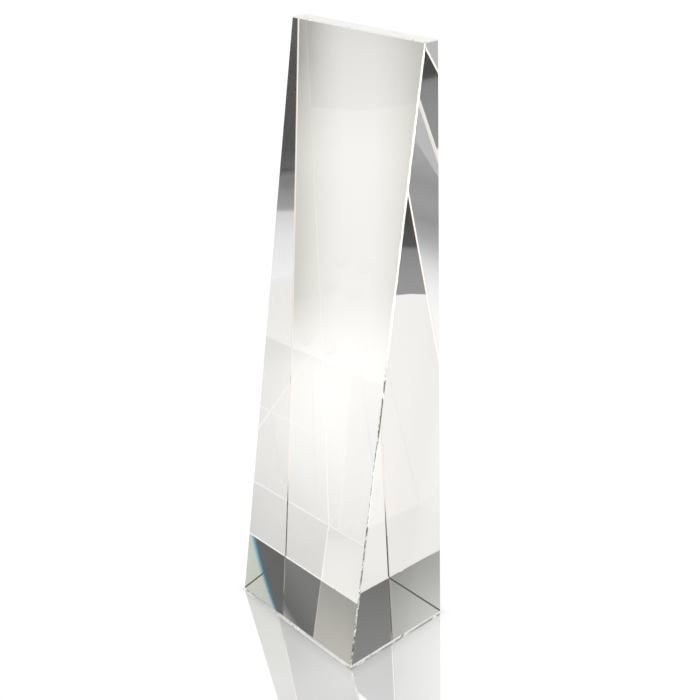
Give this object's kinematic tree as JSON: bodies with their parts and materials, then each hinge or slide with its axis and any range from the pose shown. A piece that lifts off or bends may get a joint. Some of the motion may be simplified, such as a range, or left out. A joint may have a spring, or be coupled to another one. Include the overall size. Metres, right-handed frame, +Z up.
{
  "type": "crystal award",
  "caption": "Free-standing award: a solid wedge tower of clear crystal, upright behind and sloping in front up to a thin flat top, bevelled on every edge, on low clear feet.",
  "frame": {"origin": "middle of the footprint, on the surface that the award stands on", "axes": "+Z up along the tower; +Y towards the upright rear face; -Y towards the sloping presentation face; +X to the right seen from the front"},
  "size_m": [0.06, 0.0429, 0.2035],
  "materials": {
    "crystal": "polished, water clear",
    "clear_silicone": "clear, fine matt"
  },
  "bodies": {
    "root": {"crystal_tower": "crystal", "foot_front_left": "clear_silicone", "foot_front_right": "clear_silicone", "foot_rear_left": "clear_silicone", "foot_rear_right": "clear_silicone"}
  },
  "joints": []
}
